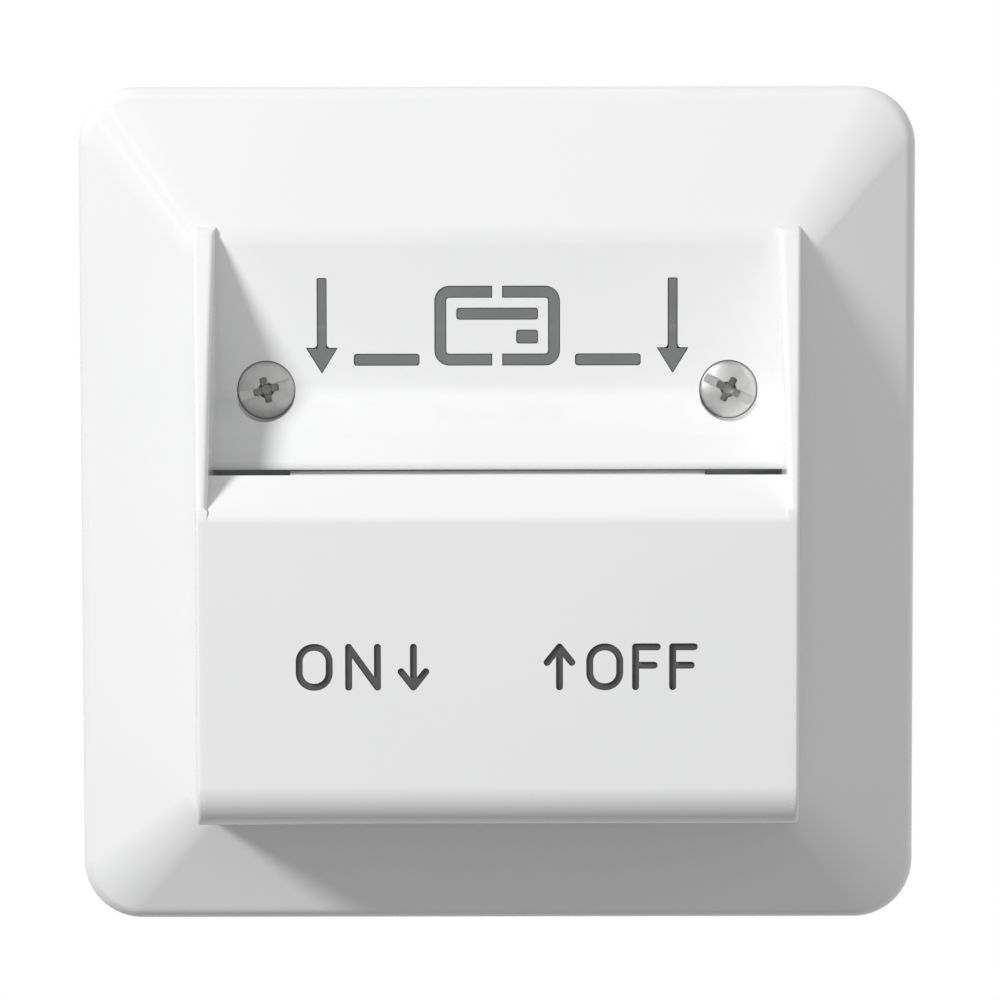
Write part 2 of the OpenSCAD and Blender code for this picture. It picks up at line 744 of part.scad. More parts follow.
module light_guide() {
    color([0.8, 0.88, 0.9]) on_wall() difference() {
        union() {
            translate([-guide_half, guide_low, guide_z])
                cube([2 * guide_half, guide_high - guide_low, guide_t]);
            translate([0, 0, guide_z + guide_t / 2])
                linear_extrude(guide_t / 2 + cover_wall - glyph_set) glyphs(glyph_clear);
        }
        mirrored() translate([screw_x, screw_y, 0])
            cylinder(r = tower_r + peg_clear, h = panel_in + eps);
        pegs(peg_r + peg_clear, guide_z - 1, panel_in + eps);
    }
}

module cover_screw(turn) {
    h = screw_head_h;
    difference() {
        translate([0, 0, seat_z]) union() {
            rotate_extrude() polygon([[0, 0], [screw_head_r, 0],
                [screw_head_r, h * 0.55], [screw_head_r * 0.8, h * 0.9], [0, h]]);
            translate([0, 0, -seat_z - collar_h - 0.6])
                cylinder(r = screw_r, h = seat_z + collar_h + 0.6 + eps);
        }
        translate([0, 0, seat_z + h - drive_depth]) rotate(turn) {
            translate([-screw_head_r - 1, -drive_w / 2, 0])
                cube([2 * screw_head_r + 2, drive_w, h]);
            translate([-drive_w / 2, -screw_head_r * 0.55, 0])
                cube([drive_w, screw_head_r * 1.1, h]);
        }
    }
}

module cover_screws() {
    color("silver") on_wall() {
        translate([-screw_x, screw_y, 0]) cover_screw(turn_left);
        translate([screw_x, screw_y, 0]) cover_screw(turn_right);
    }
}

module card_guide() {
    color("gainsboro") on_wall() difference() {
        union() {
            across(cguide_mid, [[cg_low, cg_rear], [lead_y, cg_rear],
                [cg_top, lead_z(cg_top) - cguide_t], [cg_top, slot_rear], [cg_low, slot_rear]]);
            translate([-cg_half, cg_low, cg_rear])
                cube([2 * cg_half, lead_y - shoulder_drop - cg_low, cguide_t]);
            mirrored() {
                translate([cg_half - leg_t, leg_low, foot_z])
                    cube([leg_t, leg_h, cg_rear - foot_z + eps]);
                translate([cg_half - leg_t, leg_low, foot_z])
                    cube([leg_t + foot_screw_out + foot_edge, leg_h, foot_t]);
                translate([lug_x, lever_y, lever_z]) rotate([0, 90, 0])
                    cylinder(r = lug_r, h = lug_t);
                translate([lug_x, lever_y - lug_r, lever_z])
                    cube([lug_t, 2 * lug_r, cg_rear - lever_z + eps]);
            }
        }
        translate([-win_half, win_low, cg_rear - 1])
            cube([2 * win_half, win_top - win_low, cguide_t + 2]);
        translate([-lug_x - lug_t - 1, lever_y, lever_z]) rotate([0, 90, 0])
            cylinder(r = axle_r + pin_clear, h = 2 * (lug_x + lug_t + 1));
        across(half_w, [[lead_y - 1 / lip_slope, slot_rear + 1], [half_w, slot_rear + 1],
            [half_w, lead_z(half_w)]]);
        mirrored() translate([rivet_x, ear_y, foot_z - 1])
            cylinder(r = rivet_head_r + cguide_clear,
                h = lid_z + rivet_head_h + cguide_clear - foot_z + 1);
        for (y = fscrew_ys) {
            mirrored() translate([fscrew_x, y, 0])
                cylinder(r = fscrew_r + pin_clear, h = cg_rear);
        }
    }
}

module guide_screws() {
    color("silver") on_wall() mirrored() {
        for (y = fscrew_ys) {
            translate([fscrew_x, y, foot_z]) difference() {
                union() {
                    translate([0, 0, -fscrew_head_h])
                        cylinder(r = fscrew_head_r, h = fscrew_head_h);
                    translate([0, 0, -eps]) cylinder(r = fscrew_r, h = foot_t + fscrew_bite);
                }
                for (a = [0, 90]) {
                    rotate(a) translate([-fscrew_head_r * 0.6, -0.3, -fscrew_head_h - 1])
                        cube([fscrew_head_r * 1.2, 0.6, 1.7]);
                }
            }
        }
    }
}

module card_lever() {
    nose = [-nose_len * cos(mid_a), -nose_len * sin(mid_a)];
    color("ivory") on_wall() translate([0, lever_y, lever_z]) rotate([-rest_a, 0, 0])
        difference() {
            union() {
                rotate([0, 90, 0]) cylinder(r = hub_r, h = flap_w, center = true);
                translate([-flap_w / 2, -lever_len, -flap_r])
                    cube([flap_w, lever_len, 2 * flap_r]);
                translate([0, -lever_len, 0]) rotate([0, 90, 0])
                    cylinder(r = flap_r, h = flap_w, center = true);
                across(nose_w / 2, [[0, 0], [-lever_len * 0.75, 0],
                    [nose[0] - nose_r * 0.9, nose[1]], [nose[0] + nose_r * 0.9, nose[1]]]);
                translate([0, nose[0], nose[1]]) rotate([0, 90, 0])
                    cylinder(r = nose_r, h = nose_w, center = true);
            }
            rotate([0, 90, 0])
                cylinder(r = axle_r + lever_clear, h = flap_w + 2, center = true);
        }
}

module lever_axle() {
    end = lug_x + lug_t;
    color("silver") on_wall() translate([0, lever_y, lever_z]) rotate([0, 90, 0]) {
        cylinder(r = axle_r, h = 2 * end + 0.1, center = true);
        cylinder(r = axle_r - clip_groove, h = 2 * (end + clip_t) + 0.6, center = true);
        for (s = [-1, 1]) {
            translate([0, 0, s * (end + clip_t + 0.6)])
                cylinder(r = axle_r, h = 0.8, center = true);
        }
    }
}

module axle_clips() {
    x = lug_x + lug_t + 0.1;
    color("dimgray") on_wall() mirrored() translate([x, lever_y, lever_z])
        rotate([0, 90, 0]) difference() {
            cylinder(r = clip_r, h = clip_t);
            translate([0, 0, -1]) cylinder(r = axle_r - clip_groove + pin_clear, h = clip_t + 2);
            translate([0, -axle_r * 0.5, -1]) cube([clip_r + 1, axle_r, clip_t + 2]);
        }
}

module support_ring() {
    color("lightsteelblue") on_wall() difference() {
        union() {
            linear_extrude(ring_t) rr(ring_w, ring_w, ring_corner_r);
            mirrored() translate([screw_x, screw_y, -collar_h])
                cylinder(r = screw_r + thread_clear + collar_wall, h = collar_h + eps);
        }
        translate([0, 0, -collar_h - 1]) linear_extrude(collar_h + ring_t + 2)
            rr(base_w + 2 * base_clear, base_h + 2 * base_clear, base_corner_r);
        mirrored() {
            translate([screw_x, screw_y, -collar_h - 1])
                cylinder(r = screw_r + thread_clear, h = collar_h + ring_t + 2);
            translate([rivet_x, ear_y, -1]) cylinder(r = rivet_r + pin_clear, h = ring_t + 2);
            translate([box_pitch / 2, 0, -1]) {
                for (s = [-1, 1]) {
                    translate([s * box_slot_len / 2, 0, 0]) cylinder(r = box_slot_r, h = ring_t + 2);
                }
                translate([-box_slot_len / 2, -box_slot_r, 0])
                    cube([box_slot_len, 2 * box_slot_r, ring_t + 2]);
            }
        }
    }
}

module switch_base() {
    bay_in = term_x - bay_clear;
    bay_y = term_h / 2 + bay_clear;
    color("darkslategray") on_wall() difference() {
        union() {
            difference() {
                translate([0, 0, -base_depth]) linear_extrude(base_depth)
                    rr(base_w, base_h, base_corner_r);
                translate([-base_w / 2 + base_wall, -base_h / 2 + base_wall, floor_z])
                    cube([base_w - 2 * base_wall, base_h - 2 * base_wall, base_depth]);
            }
            mirrored() {
                translate([bay_in - bay_wall, -bay_y - bay_wall, floor_z - eps])
                    cube([base_w / 2 - base_wall / 2 - bay_in + bay_wall, 2 * (bay_y + bay_wall),
                        bay_top + bay_wall - floor_z]);
                translate([strip_in + 1, plunger_y - bar_w / 2, floor_z - eps])
                    cube([strip_out - strip_in - 1, bar_w, strip_z - floor_z + eps]);
                for (s = [-1, 1]) {
                    translate([post_x, s * post_y, floor_z - eps])
                        cylinder(r = post_r, h = -floor_z + eps);
                    translate([post_x, s * post_y - (s < 0 ? post_r + base_wall / 2 : 0), floor_z])
                        cube([post_r + base_wall / 2, post_r + base_wall / 2, -floor_z]);
                }
            }
            translate([0, plunger_y, floor_z - eps]) cylinder(r = pilot_r, h = pilot_len);
        }
        mirrored() {
            translate([bay_in, -bay_y, -base_depth - 1])
                cube([base_w, 2 * bay_y, bay_top + base_depth + 1]);
            translate([strip_out - strip_w - 0.1, strip_y - 1, strip_z - 0.1])
                cube([strip_w + 0.2, 3 - strip_y, metal_t + 0.2]);
            for (s = [-1, 1]) {
                translate([post_x, s * post_y, -bscrew_len - 0.5])
                    cylinder(r = bscrew_r + pin_clear, h = bscrew_len + 1);
            }
        }
    }
}

module base_cover() {
    color("lightgray") on_wall() difference() {
        union() {
            linear_extrude(lid_z) rr(base_w, base_h, base_corner_r);
            mirrored() translate([base_w / 2 - 2, ear_y - ear_h / 2, ring_t])
                cube([ear_len + 2, ear_h, lid_rise]);
            translate([0, plunger_y, -sleeve_down])
                cylinder(r = shaft_r + shaft_clear + sleeve_wall, h = sleeve_down + lid_z + sleeve_up);
        }
        translate([0, plunger_y, -sleeve_down - 1])
            cylinder(r = shaft_r + shaft_clear, h = sleeve_down + lid_z + sleeve_up + 2);
        translate([-holder_half - holder_clear, lamp_y - holder_half_y - holder_clear, -1])
            cube([2 * (holder_half + holder_clear), 2 * (holder_half_y + holder_clear), lid_z + 2]);
        mirrored() {
            translate([rivet_x, ear_y, 0]) cylinder(r = rivet_r + pin_clear, h = lid_z + 1);
            for (s = [-1, 1]) {
                translate([post_x, s * post_y, -1]) {
                    cylinder(r = bscrew_r + pin_clear, h = lid_z + 2);
                    translate([0, 0, lid_z + 1 - bscrew_head_h])
                        cylinder(r = bscrew_head_r + pin_clear, h = bscrew_head_h + 1);
                }
            }
        }
    }
}

module cover_rivets() {
    color("silver") on_wall() mirrored() translate([rivet_x, ear_y, 0]) {
        translate([0, 0, -rivet_head_h]) cylinder(r = rivet_head_r, h = rivet_head_h);
        translate([0, 0, -eps]) cylinder(r = rivet_r, h = lid_z + 2 * eps);
        translate([0, 0, lid_z]) cylinder(r = rivet_head_r, h = rivet_head_h);
    }
}

module base_screws() {
    color("silver") on_wall() mirrored() {
        for (s = [-1, 1]) {
            translate([post_x, s * post_y, lid_z - bscrew_head_h]) difference() {
                union() {
                    cylinder(r = bscrew_head_r, h = bscrew_head_h);
                    translate([0, 0, -bscrew_len]) cylinder(r = bscrew_r, h = bscrew_len + eps);
                }
                for (a = [45, 135]) {
                    rotate(a) translate([-bscrew_head_r * 0.6, -0.25, bscrew_head_h - 0.6])
                        cube([bscrew_head_r * 1.2, 0.5, 1]);
                }
            }
        }
    }
}

module plunger() {
    color("orange") on_wall() translate([0, plunger_y, 0]) rotate_extrude() polygon([
        [0, cap_top], [cap_r - 0.4, cap_top], [cap_r, cap_top - 0.4], [cap_r, cap_z],
        [shaft_r, cap_z], [shaft_r, shaft_z], [neck_r, shaft_z], [neck_r, bar_z],
        [flange_r, bar_z], [flange_r, flange_z], [pilot_r, flange_z],
        [pilot_r, flange_z - pilot_len], [0, flange_z - pilot_len]]);
}

module return_spring() {
    color("slategray") on_wall() translate([0, plunger_y, 0])
        coil(coil_r, rspring_wire, rspring_z, rspring_len, rspring_turns);
}

module contact_bridge() {
    slot = neck_r + bar_clear;
    color("peru") on_wall() translate([0, plunger_y, bar_z]) difference() {
        translate([-bar_half, -bar_w / 2, 0]) cube([2 * bar_half, bar_w, metal_t]);
        translate([0, 0, -1]) cylinder(r = slot, h = metal_t + 2);
        translate([-slot, 0, -1]) cube([2 * slot, bar_w, metal_t + 2]);
    }
}

module bridge_tips() {
    color("whitesmoke") on_wall() mirrored() translate([tip_x, plunger_y, bar_tip_z])
        cylinder(r = tip_r, h = tip_h);
}

module contact_spring() {
    color("slategray") on_wall() translate([0, plunger_y, 0])
        coil(ccoil_r, cspring_wire, cspring_z, cspring_run, cspring_turns);
}

module strip() {
    translate([strip_in, plunger_y - bar_w / 2, strip_z])
        cube([strip_out - strip_in, bar_w, metal_t]);
    translate([strip_out - strip_w, plunger_y, strip_z])
        cube([strip_w, term_h / 2 - 0.5 - plunger_y, metal_t]);
}

module line_contact() {
    color("goldenrod") on_wall() mirror([1, 0, 0]) strip();
}

module load_contact() {
    color("goldenrod") on_wall() strip();
}

module fixed_tips() {
    color("whitesmoke") on_wall() mirrored() translate([tip_x, plunger_y, strip_top])
        cylinder(r = tip_r, h = tip_h);
}

module terminal() {
    difference() {
        translate([term_x, -term_h / 2, term_z]) cube([term_w, term_h, term_d]);
        translate([wire_x, 0, term_z - 1]) cylinder(r = wire_r, h = term_d + 2);
        translate([wire_x, 0, tscrew_z]) rotate([0, 90, 0])
            cylinder(r = tscrew_r + pin_clear, h = term_w);
    }
}

module line_terminal() {
    color("khaki") on_wall() mirror([1, 0, 0]) terminal();
}

module load_terminal() {
    color("khaki") on_wall() terminal();
}

module terminal_screws() {
    tip = wire_x + wire_r + tscrew_back;
    color("silver") on_wall() mirrored() translate([tip, 0, tscrew_z]) rotate([0, 90, 0])
        difference() {
            union() {
                cylinder(r = tscrew_r, h = term_out - tip + eps);
                translate([0, 0, term_out - tip])
                    cylinder(r = tscrew_head_r, h = tscrew_head_h);
            }
            translate([-tscrew_head_r - 1, -0.4, term_out - tip + tscrew_head_h - 1])
                cube([2 * tscrew_head_r + 2, 0.8, 2]);
        }
}

module lamp_holder() {
    lip_x = holder_half + holder_lip;
    lip_y = holder_half_y + holder_lip;
    color("aliceblue") on_wall() translate([0, lamp_y, 0]) difference() {
        union() {
            translate([-holder_half, -holder_half_y, holder_z])
                cube([2 * holder_half, 2 * holder_half_y, lid_z - holder_z + eps]);
            translate([-lip_x, -lip_y, lid_z]) cube([2 * lip_x, 2 * lip_y, holder_lip]);
        }
        translate([-lamp_len / 2 - 0.3, 0, lamp_z]) rotate([0, 90, 0])
            cylinder(r = lamp_r + lamp_clear, h = lamp_len + 0.6);
        translate([-lamp_len / 2 - 0.3, -lamp_r - lamp_clear, lamp_z])
            cube([lamp_len + 0.6, 2 * (lamp_r + lamp_clear), lid_z]);
        translate([-lead_x, -lead_r - lead_clear, lamp_z - lead_r - lead_clear])
            cube([2 * lead_x, 2 * (lead_r + lead_clear), lid_z]);
        mirrored() translate([lead_x - lead_bend, -lead_r - lead_clear, holder_z - 1])
            cube([lead_bend + lead_r + lead_clear, 2 * (lead_r + lead_clear), lid_z + 3]);
    }
}

module locator_lamp() {
    color("orangered") on_wall() translate([0, lamp_y, lamp_z]) rotate([0, 90, 0]) {
        cylinder(r = lamp_r, h = lamp_len - 2 * lamp_r, center = true);
        for (s = [-1, 1]) translate([0, 0, s * (lamp_len / 2 - lamp_r)]) sphere(lamp_r);
    }
}

// A bent wire: corners of the route are rounded, and one tube of 8 sides follows it
function unit(v) = v / norm(v);
function bend(a, b, c) =
    let (p = b + lead_bend * unit(a - b), q = b + lead_bend * unit(c - b))
    [for (i = [0:4]) let (t = i / 4)
        (1 - t) * (1 - t) * p + 2 * t * (1 - t) * b + t * t * q];
function smooth(r) = concat([r[0]],
    [for (i = [1:len(r) - 2]) each bend(r[i - 1], r[i], r[i + 1])], [r[len(r) - 1]]);
function heading(p, i) =
    unit(p[min(i + 1, len(p) - 1)] - p[max(i - 1, 0)]);
function carried(p, i, n) =
    let (t = heading(p, i), m = unit(n - t * (t * n)))
    i == len(p) - 1 ? [m] : concat([m], carried(p, i + 1, m));

module tube(p, r, n) {
    side = carried(p, 0, n);
    last = len(p) - 1;
    pts = [for (i = [0:last]) let (m = side[i], b = cross(heading(p, i), m))
        for (k = [0:7]) p[i] + r * (cos(45 * k) * m + sin(45 * k) * b)];
    sides = [for (i = [0:last - 1]) for (k = [0:7]) each
        let (a = 8 * i + k, b = 8 * i + (k + 1) % 8)
        [[a, a + 8, b + 8], [a, b + 8, b]]];
    low = [for (k = [1:6]) [0, k, k + 1]];
    high = [for (k = [1:6]) [8 * last, 8 * last + k + 1, 8 * last + k]];
    polyhedron(pts, concat(sides, low, high));
}

module lead() {
    route = [[lamp_len / 2, lamp_y, lamp_z], [lead_x, lamp_y, lamp_z],
        [lead_x, lamp_y, -lead_deep], [lead_end[0], lead_end[1], -lead_deep],
        [lead_end[0], lead_end[1], strip_top]];
    tube(smooth(route), lead_r, [0, 1, 0]);
}

module lamp_leads() {
    color("tan") on_wall() mirrored() lead();
}

module lamp_resistor() {
    low = -lead_deep + 1.5;
    color("burlywood") on_wall() translate([lead_x, lamp_y, low]) difference() {
        cylinder(r = res_r, h = res_len);
        translate([0, 0, -1]) cylinder(r = lead_r + pin_clear, h = res_len + 2);
    }
}

cover_plate();
light_guide();
cover_screws();
card_guide();
guide_screws();
card_lever();
lever_axle();
axle_clips();
support_ring();
switch_base();
base_cover();
cover_rivets();
base_screws();
plunger();
return_spring();
contact_bridge();
bridge_tips();
contact_spring();
line_contact();
load_contact();
fixed_tips();
line_terminal();
load_terminal();
terminal_screws();
lamp_holder();
locator_lamp();
lamp_leads();
lamp_resistor();
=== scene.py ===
import math

import bmesh
import bpy
from mathutils import Matrix, Vector


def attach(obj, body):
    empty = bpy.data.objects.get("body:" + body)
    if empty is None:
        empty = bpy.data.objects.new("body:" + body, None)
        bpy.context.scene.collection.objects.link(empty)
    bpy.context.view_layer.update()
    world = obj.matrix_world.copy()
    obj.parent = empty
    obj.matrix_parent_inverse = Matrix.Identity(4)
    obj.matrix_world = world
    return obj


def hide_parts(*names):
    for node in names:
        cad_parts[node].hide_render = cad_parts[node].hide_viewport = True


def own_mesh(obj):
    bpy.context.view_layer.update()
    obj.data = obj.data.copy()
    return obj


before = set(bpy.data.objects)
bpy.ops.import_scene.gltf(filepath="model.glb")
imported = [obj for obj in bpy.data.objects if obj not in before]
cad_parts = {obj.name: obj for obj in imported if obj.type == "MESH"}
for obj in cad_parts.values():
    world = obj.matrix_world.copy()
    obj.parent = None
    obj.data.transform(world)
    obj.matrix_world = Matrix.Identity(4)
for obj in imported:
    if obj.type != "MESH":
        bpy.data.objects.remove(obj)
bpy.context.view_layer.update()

# Cover moulding: sloped surround and card pocket in one shot of glossy white plastic.
# It lies on the wall with its rim and is held by the two screws beside the windows.
# Sizes are millimetres on the bench: x to the right, y up the wall, z out of the wall.
plate_half, plate_corner = 42.5, 6.0
edge_height, edge_round = 3.6, 1.3
panel, skin = 8.8, 2.0
crest_x, crest_up, crest_down = 30.6, 27.4, -31.0
crest_corner, crest_round = 2.2, 1.0
pocket_front, pocket_back, pocket_foot = 23.8, 21.8, 7.4
front_half, flare = 29.3, 1.2
wall_half, recess_half = 28.6, 28.2
foot_y, low_edge_y, low_round = -30.7, -30.3, 4.2
cavity_low, cavity_high = -28.3, 10.4
cut_low, cut_high = 5, 10
crease_y, front_edge_y = 11.5, 0.5
ramp_root_y, ramp_root_z = 12.7, 6.9
knee, knee_under = (8.5, 12.89), (7.13, 11.38)
lip_turn, lip, lip_under = (4.85, 15.07), (4.29, 15.03), (4.29, 13.07)
rim_end, rim_bend, rim_foot = (27.7, 9.75), (13.5, 18.4), (28.9, 7.4)
cheek_blank, outer_ease, inner_ease = 40, 0.4, 0.6
slot_near, slot_ledge = 18.9, 1.6
screw_x, screw_y, seat = 23.2, 12.0, 7.5
tower_r, tower_top, collar_r, collar_low = 3.89, 17, 3, 1.2
shank_hole_r, head_hole_r, mouth_r = 1.9, 2.93, 3.1
rib_xs, rib_half, rib_low, rib_top, rib_back = (-23, -13, 13, 23), 0.6, -28, -0.4, 22.3
guide_screw_x, guide_screw_ys = 32.1, (-8.5, -21.5)
foot_top, boss_r, boss_root, boss_hole_r = 4.4, 2.7, 6.2, 1.04
peg_xs, peg_y, peg_r, peg_root = (-14.6, 0, 14.6), 24.8, 0.9, 7.5
window_cut = (5.8, 10.8)
sides = (-1, 1)
crease_angle = math.radians(32)
on_wall = Matrix(((0.001, 0, 0, 0), (0, 0, -0.001, 0), (0, 0.001, 0, 0), (0, 0, 0, 1)))
side_view = Matrix(((0, 0, 1, 0), (1, 0, 0, 0), (0, 1, 0, 0), (0, 0, 0, 1)))


def blank(name, bm):
    """A workpiece on the bench, lying on its back."""
    bmesh.ops.holes_fill(bm, edges=[e for e in bm.edges if e.is_boundary])
    bmesh.ops.recalc_face_normals(bm, faces=bm.faces)
    mesh = bpy.data.meshes.new(name)
    bm.to_mesh(mesh)
    bm.free()
    obj = bpy.data.objects.new(name, mesh)
    bpy.context.scene.collection.objects.link(obj)
    return obj


def work(piece, tool, kind, paint=None):
    """Adds the tool's shape to the piece or takes it away, and puts the tool aside."""
    if paint:
        tool.data.materials.append(paint)
    step = piece.modifiers.new("step", "BOOLEAN")
    step.operation = kind
    step.solver = "EXACT"
    step.material_mode = "TRANSFER" if paint else "INDEX"
    step.object = tool
    bpy.context.view_layer.objects.active = piece
    bpy.ops.object.modifier_apply(modifier=step.name)
    bpy.data.objects.remove(tool)


def rounded(bm, geom, offset, steps, kind="EDGES"):
    """Rounds edges or corners with an arc of so many steps."""
    bmesh.ops.bevel(bm, geom=geom, offset=offset, affect=kind, segments=steps, profile=0.5, material=-1)


def raise_top(bm, rise):
    """Pulls the highest face up and returns its new corners."""
    top = max(bm.faces, key=lambda f: f.calc_center_median().z)
    first = len(bm.faces) == 1
    out = bmesh.ops.extrude_face_region(bm, geom=[top])
    if not first:
        bmesh.ops.delete(bm, geom=[top], context="FACES_ONLY")
    ring = [v for v in out["geom"] if isinstance(v, bmesh.types.BMVert)]
    bmesh.ops.translate(bm, verts=ring, vec=(0, 0, rise))
    return ring


def dish(half, corner, low, edge, top):
    """A square block with round corners whose slopes rise to the flat crest."""
    bm = bmesh.new()
    bmesh.ops.create_grid(bm, x_segments=1, y_segments=1, size=half,
                          matrix=Matrix.Translation((0, 0, low)))
    rounded(bm, bm.verts[:], corner, 18, "VERTICES")
    raise_top(bm, edge - low)
    ring = raise_top(bm, top - edge)
    for sx in sides:
        for sy in sides:
            arc = [v for v in ring if v.co.x * sx > 0 and v.co.y * sy > 0]
            centre = Vector((sx * (half - corner), sy * (half - corner), 0))
            goal = Vector((sx * (crest_x - crest_corner),
                           (crest_up if sy > 0 else crest_down) - sy * crest_corner, 0))
            k = crest_corner / corner
            bmesh.ops.scale(bm, vec=(k, k, 1), space=Matrix.Translation(-centre), verts=arc)
            bmesh.ops.translate(bm, vec=goal - centre, verts=arc)
    return bm


def level(bm, z):
    """The edges that lie all at one height."""
    return [e for e in bm.edges if all(abs(v.co.z - z) < 1e-4 for v in e.verts)]


def slab(points, rounds, z0, z1):
    """A flat shape in x and y, its numbered corners rounded, pulled up from z0 to z1."""
    bm = bmesh.new()
    corners = [bm.verts.new((x, y, z0)) for x, y in points]
    bm.faces.new(corners)
    for i, (length, steps) in rounds.items():
        rounded(bm, [corners[i]], length, steps, "VERTICES")
    raise_top(bm, z1 - z0)
    return bm


def profile(points, rounds, x0, x1):
    """A slab across the pocket from a side view in y and z."""
    bm = slab(points, rounds, x0, x1)
    bm.transform(side_view)
    return bm


def turned(points, x=0, y=0, steps=64):
    """A shape from the lathe: radius and height from the axis out and back to it."""
    bm = bmesh.new()
    line = [bm.verts.new((r, 0, z)) for r, z in points]
    edges = [bm.edges.new(pair) for pair in zip(line, line[1:])]
    bmesh.ops.spin(bm, geom=line + edges, axis=(0, 0, 1), cent=(0, 0, 0), angle=2 * math.pi,
                   steps=steps, use_merge=True)
    bmesh.ops.remove_doubles(bm, verts=bm.verts, dist=1e-4)
    bmesh.ops.translate(bm, verts=bm.verts, vec=(x, y, 0))
    return bm


def rod(radius, z0, z1, x, y, steps=64):
    """A plain round bar that stands on the bench."""
    return turned([(0, z0), (radius, z0), (radius, z1), (0, z1)], x, y, steps)


def joined(parts):
    """Several shapes that don't touch, as one tool."""
    bm = bmesh.new()
    for part in parts:
        mesh = bpy.data.meshes.new("part")
        part.to_mesh(mesh)
        part.free()
        bm.from_mesh(mesh)
        bpy.data.meshes.remove(mesh)
    return bm


def dial(mat, name, value):
    """Sets one value of a finish."""
    mat.node_tree.nodes["Principled BSDF"].inputs[name].default_value = value


def surface(name, light, dark, patch, gloss, grain, depth, stretch=(1, 1, 1), metallic=0.0):
    """A finish with a slow drift of colour, uneven gloss and a fine grain."""
    mat = bpy.data.materials.new(name)
    mat.use_nodes = True
    nodes, links = mat.node_tree.nodes, mat.node_tree.links
    shader = nodes["Principled BSDF"]
    shader.inputs["Metallic"].default_value = metallic
    place = nodes.new("ShaderNodeTexCoord")
    turn = nodes.new("ShaderNodeMapping")
    turn.inputs["Scale"].default_value = stretch
    links.new(place.outputs["Object"], turn.inputs["Vector"])
    cloud = nodes.new("ShaderNodeTexNoise")
    cloud.inputs["Scale"].default_value = patch
    cloud.inputs["Detail"].default_value = 4
    links.new(place.outputs["Object"], cloud.inputs["Vector"])
    tint = nodes.new("ShaderNodeValToRGB")
    tint.color_ramp.elements[0].position, tint.color_ramp.elements[1].position = 0.3, 0.7
    tint.color_ramp.elements[0].color = (*dark, 1)
    tint.color_ramp.elements[1].color = (*light, 1)
    links.new(cloud.outputs["Fac"], tint.inputs["Fac"])
    links.new(tint.outputs["Color"], shader.inputs["Base Color"])
    fine = nodes.new("ShaderNodeTexNoise")
    fine.inputs["Scale"].default_value = grain
    fine.inputs["Detail"].default_value = 3
    links.new(turn.outputs["Vector"], fine.inputs["Vector"])
    sheen = nodes.new("ShaderNodeMapRange")
    sheen.inputs["To Min"].default_value, sheen.inputs["To Max"].default_value = gloss
    links.new(fine.outputs["Fac"], sheen.inputs["Value"])
    links.new(sheen.outputs["Result"], shader.inputs["Roughness"])
    bump = nodes.new("ShaderNodeBump")
    bump.inputs["Strength"].default_value = 0.4
    bump.inputs["Distance"].default_value = depth
    links.new(fine.outputs["Fac"], bump.inputs["Height"])
    links.new(bump.outputs["Normal"], shader.inputs["Normal"])
    return mat


def roof(z):
    """How far up the wall the ramp's slope is at a height."""
    return crease_y - (z - panel) * (crease_y - front_edge_y) / (pocket_front - panel)


bm = dish(plate_half, plate_corner, 0, edge_height, panel)
rounded(bm, level(bm, edge_height), edge_round, 7)
rounded(bm, level(bm, panel), crest_round, 6)
cover = blank("cover_moulding", bm)
bm = dish(plate_half - skin, plate_corner - skin, -1, edge_height - skin, panel - skin)
work(cover, blank("tool", bm), "DIFFERENCE")
bm = profile([(cavity_low, cut_low), (cavity_high, cut_low), (cavity_high, cut_high), (cavity_low, cut_high)],
             {}, -recess_half, recess_half)
work(cover, blank("tool", bm), "DIFFERENCE")

# the ramp above the slot, with its knee, its lip and a soft crease at the panel
bm = profile([(ramp_root_y, panel), (crease_y, panel), knee, lip_turn, lip, lip_under, knee_under,
              (cavity_high, ramp_root_z), (ramp_root_y, ramp_root_z)],
             {1: (0.9, 6), 2: (0.9, 6), 3: (0.3, 5), 4: (0.1, 3)}, -wall_half, wall_half)
work(cover, blank("tool", bm), "UNION")

# the front wall below the slot, down to its foot on the surround
bm = profile([(foot_y, pocket_foot), (low_edge_y, pocket_front), (front_edge_y, pocket_front),
              (roof(slot_near), slot_near), (slot_ledge, slot_near), (-0.5, pocket_back), (-27, pocket_back),
              (cavity_low, 20.5), (cavity_low, pocket_foot)],
             {1: (low_round, 14), 2: (0.85, 7), 3: (0.2, 3)}, -wall_half, wall_half)
work(cover, blank("tool", bm), "UNION")

# the two cheeks, which flare towards the plate
for side in sides:
    bm = profile([(foot_y, pocket_foot), (low_edge_y, pocket_front), (front_edge_y, pocket_front),
                  rim_bend, rim_end, rim_foot],
                 {1: (low_round, 14), 2: (0.8, 6), 3: (4.0, 8), 4: (0.9, 6)}, recess_half, cheek_blank)
    for v in bm.verts:
        if v.co.x > front_half + flare:
            v.co.x = front_half + flare * (pocket_front - v.co.z) / (pocket_front - panel)
    bmesh.ops.recalc_face_normals(bm, faces=bm.faces)
    outer = max(bm.faces, key=lambda f: f.calc_center_median().x)
    rounded(bm, [e for e in outer.edges if any(v.co.z > pocket_foot + 0.1 for v in e.verts)], outer_ease, 5)
    inner = [e for e in bm.edges
             if all(v.co.x < recess_half + 0.01 and v.co.y > front_edge_y + 0.5 and v.co.z > panel + 0.2
                    for v in e.verts)]
    rounded(bm, inner, inner_ease, 5)
    if side < 0:
        bmesh.ops.scale(bm, vec=(-1, 1, 1), verts=bm.verts)
    work(cover, blank("tool", bm), "UNION")

